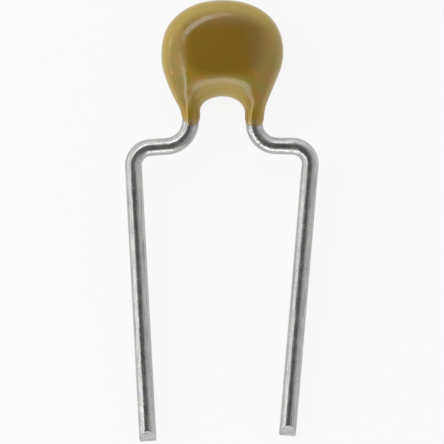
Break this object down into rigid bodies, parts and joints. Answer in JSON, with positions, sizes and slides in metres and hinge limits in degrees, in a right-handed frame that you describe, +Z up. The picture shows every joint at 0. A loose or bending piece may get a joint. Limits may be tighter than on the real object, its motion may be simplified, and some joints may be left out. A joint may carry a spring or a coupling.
{
  "type": "multilayer ceramic capacitor",
  "caption": "Radial leaded multilayer ceramic capacitor, dipped in tan epoxy, with two tinned wire leads kicked out to the hole spacing of a board.",
  "frame": {"origin": "on the ground under the middle of the part's box, with the part lying on its back", "axes": "+Z is up, out of the capacitor's front face; +Y runs along the leads towards the coated body; +X runs across both leads"},
  "size_m": [0.0056, 0.013, 0.0021],
  "materials": {
    "epoxy": "semi-gloss dipped epoxy",
    "tinned_wire": "bright tin with fine drawing marks",
    "solder": "satin solder",
    "end_cap": "matt fired metal",
    "fired_ceramic": "matt fired ceramic",
    "electrode": "fired nickel film"
  },
  "bodies": {
    "root": {"epoxy_coating": "epoxy", "lead_left": "tinned_wire", "lead_right": "tinned_wire", "solder_left": "solder", "solder_right": "solder", "end_cap_left": "end_cap", "end_cap_right": "end_cap", "ceramic_block": "fired_ceramic", "electrode_01": "electrode", "electrode_02": "electrode", "electrode_03": "electrode", "electrode_04": "electrode", "electrode_05": "electrode", "electrode_06": "electrode", "electrode_07": "electrode", "electrode_08": "electrode", "electrode_09": "electrode", "electrode_10": "electrode", "electrode_11": "electrode", "electrode_12": "electrode", "electrode_13": "electrode", "electrode_14": "electrode", "electrode_15": "electrode", "electrode_16": "electrode"}
  },
  "joints": []
}
